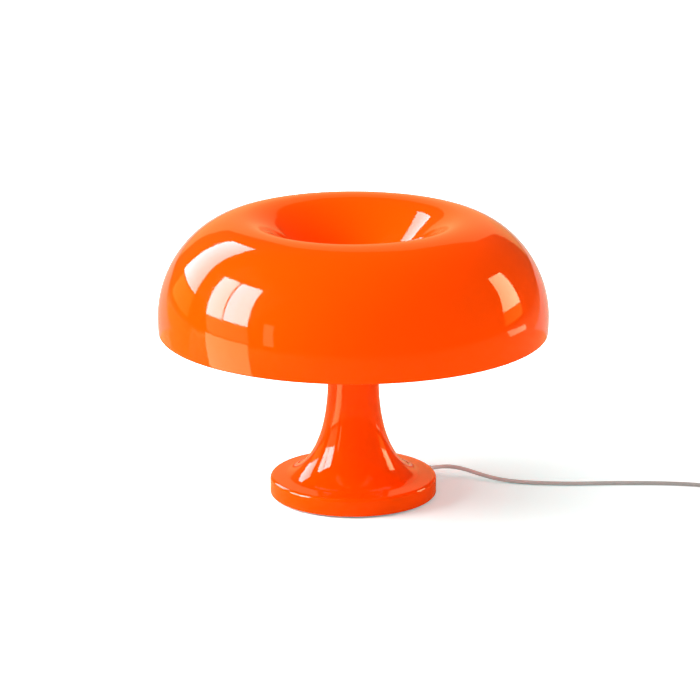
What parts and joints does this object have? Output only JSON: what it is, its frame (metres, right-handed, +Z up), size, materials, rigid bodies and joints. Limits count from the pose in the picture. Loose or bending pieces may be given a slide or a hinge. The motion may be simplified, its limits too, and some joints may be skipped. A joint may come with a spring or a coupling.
{
  "type": "table lamp",
  "caption": "Mushroom table lamp: a round shade that turns down into a funnel, on a trumpet-shaped body, with bulbs beneath and a cord with switch and plug.",
  "frame": {"origin": "on the table, under the middle of the body, at the feet's lower faces; the free cord isn't counted", "axes": "+Z up along the lamp's axis, +X to the viewer's right, +Y away from the viewer; the cord leaves the foot between +X and +Y"},
  "size_m": [0.5465, 0.32, 0.2338],
  "materials": {
    "orange_shell": "high gloss",
    "red_knob": "gloss",
    "white_plastic": "satin",
    "white_metal": "satin",
    "grey_plastic": "satin",
    "grey_cord": "satin",
    "black_rubber": "matt",
    "dark_steel": "matt",
    "steel": "satin",
    "cast_iron": "cast",
    "brass": "satin",
    "cap_aluminium": "satin",
    "plated_pins": "polished",
    "bulb_glass": "opal"
  },
  "bodies": {
    "base": {"body_shell": "orange_shell", "rubber_feet": "black_rubber", "bottom_plate": "dark_steel", "plate_screws": "steel", "ballast": "cast_iron", "tie_rod": "steel", "rod_washer": "steel", "rod_nut": "steel", "cord_bush": "grey_cord", "inner_lead": "grey_cord", "cord_clamp": "white_plastic", "clamp_screws": "steel", "terminal_block": "white_plastic", "terminal_screws": "brass", "stem_lead": "grey_cord", "cluster_body": "white_metal", "cluster_nut": "steel", "holder_nipples": "brass", "nipple_nuts": "brass", "holder_contacts": "brass", "seat_ring": "black_rubber", "switch_base": "grey_plastic", "switch_cover": "grey_plastic", "switch_screws": "steel", "switch_contacts": "brass", "cord_run": "grey_cord", "cord_link": "grey_cord", "cord_coil": "grey_cord", "cord_tail": "grey_cord", "plug_body": "grey_plastic", "plug_pins": "plated_pins", "lampholder_1": "white_plastic", "lampholder_2": "white_plastic", "lampholder_3": "white_plastic", "lampholder_4": "white_plastic"},
    "shade": {"shade_dome": "orange_shell", "shade_funnel": "orange_shell", "shade_throat": "orange_shell"},
    "knob_washer": {"knob_washer": "dark_steel"},
    "knob": {"retaining_knob": "red_knob"},
    "rocker": {"switch_rocker": "grey_plastic"},
    "bulb_1": {"bulb_glass_1": "bulb_glass", "bulb_cap_1": "cap_aluminium"},
    "bulb_2": {"bulb_glass_2": "bulb_glass", "bulb_cap_2": "cap_aluminium"},
    "bulb_3": {"bulb_glass_3": "bulb_glass", "bulb_cap_3": "cap_aluminium"},
    "bulb_4": {"bulb_glass_4": "bulb_glass", "bulb_cap_4": "cap_aluminium"}
  },
  "joints": [
    {"name": "shade_lift", "type": "slide", "parent": "base", "child": "shade", "axis": [0, 0, 1], "range_m": [0, 0.12]},
    {"name": "knob_rise", "type": "slide", "parent": "shade", "child": "knob_washer", "axis": [0, 0, 1], "range_m": [0, 0.0106]},
    {"name": "knob_turn", "type": "hinge", "parent": "knob_washer", "child": "knob", "pos_m": [0, 0, 0.1695], "axis": [0, 0, 1], "range_deg": [0, 3780]},
    {"name": "rocker_tip", "type": "hinge", "parent": "base", "child": "rocker", "pos_m": [0.314, -0.076, 0.0115], "axis": [1, 0, 0], "range_deg": [-16, 0]},
    {"name": "bulb_1_turn", "type": "hinge", "parent": "base", "child": "bulb_1", "pos_m": [0, 0, 0.15], "axis": [0.683, 0.683, 0.2588], "range_deg": [0, 1800]},
    {"name": "bulb_2_turn", "type": "hinge", "parent": "base", "child": "bulb_2", "pos_m": [0, 0, 0.15], "axis": [-0.683, 0.683, 0.2588], "range_deg": [0, 1800]},
    {"name": "bulb_3_turn", "type": "hinge", "parent": "base", "child": "bulb_3", "pos_m": [0, 0, 0.15], "axis": [-0.683, -0.683, 0.2588], "range_deg": [0, 1800]},
    {"name": "bulb_4_turn", "type": "hinge", "parent": "base", "child": "bulb_4", "pos_m": [0, 0, 0.15], "axis": [0.683, -0.683, 0.2588], "range_deg": [0, 1800]}
  ],
  "couplings": [
    {"joint": "knob_rise", "follows": "knob_turn", "m_per_rad": 0.00015915}
  ]
}
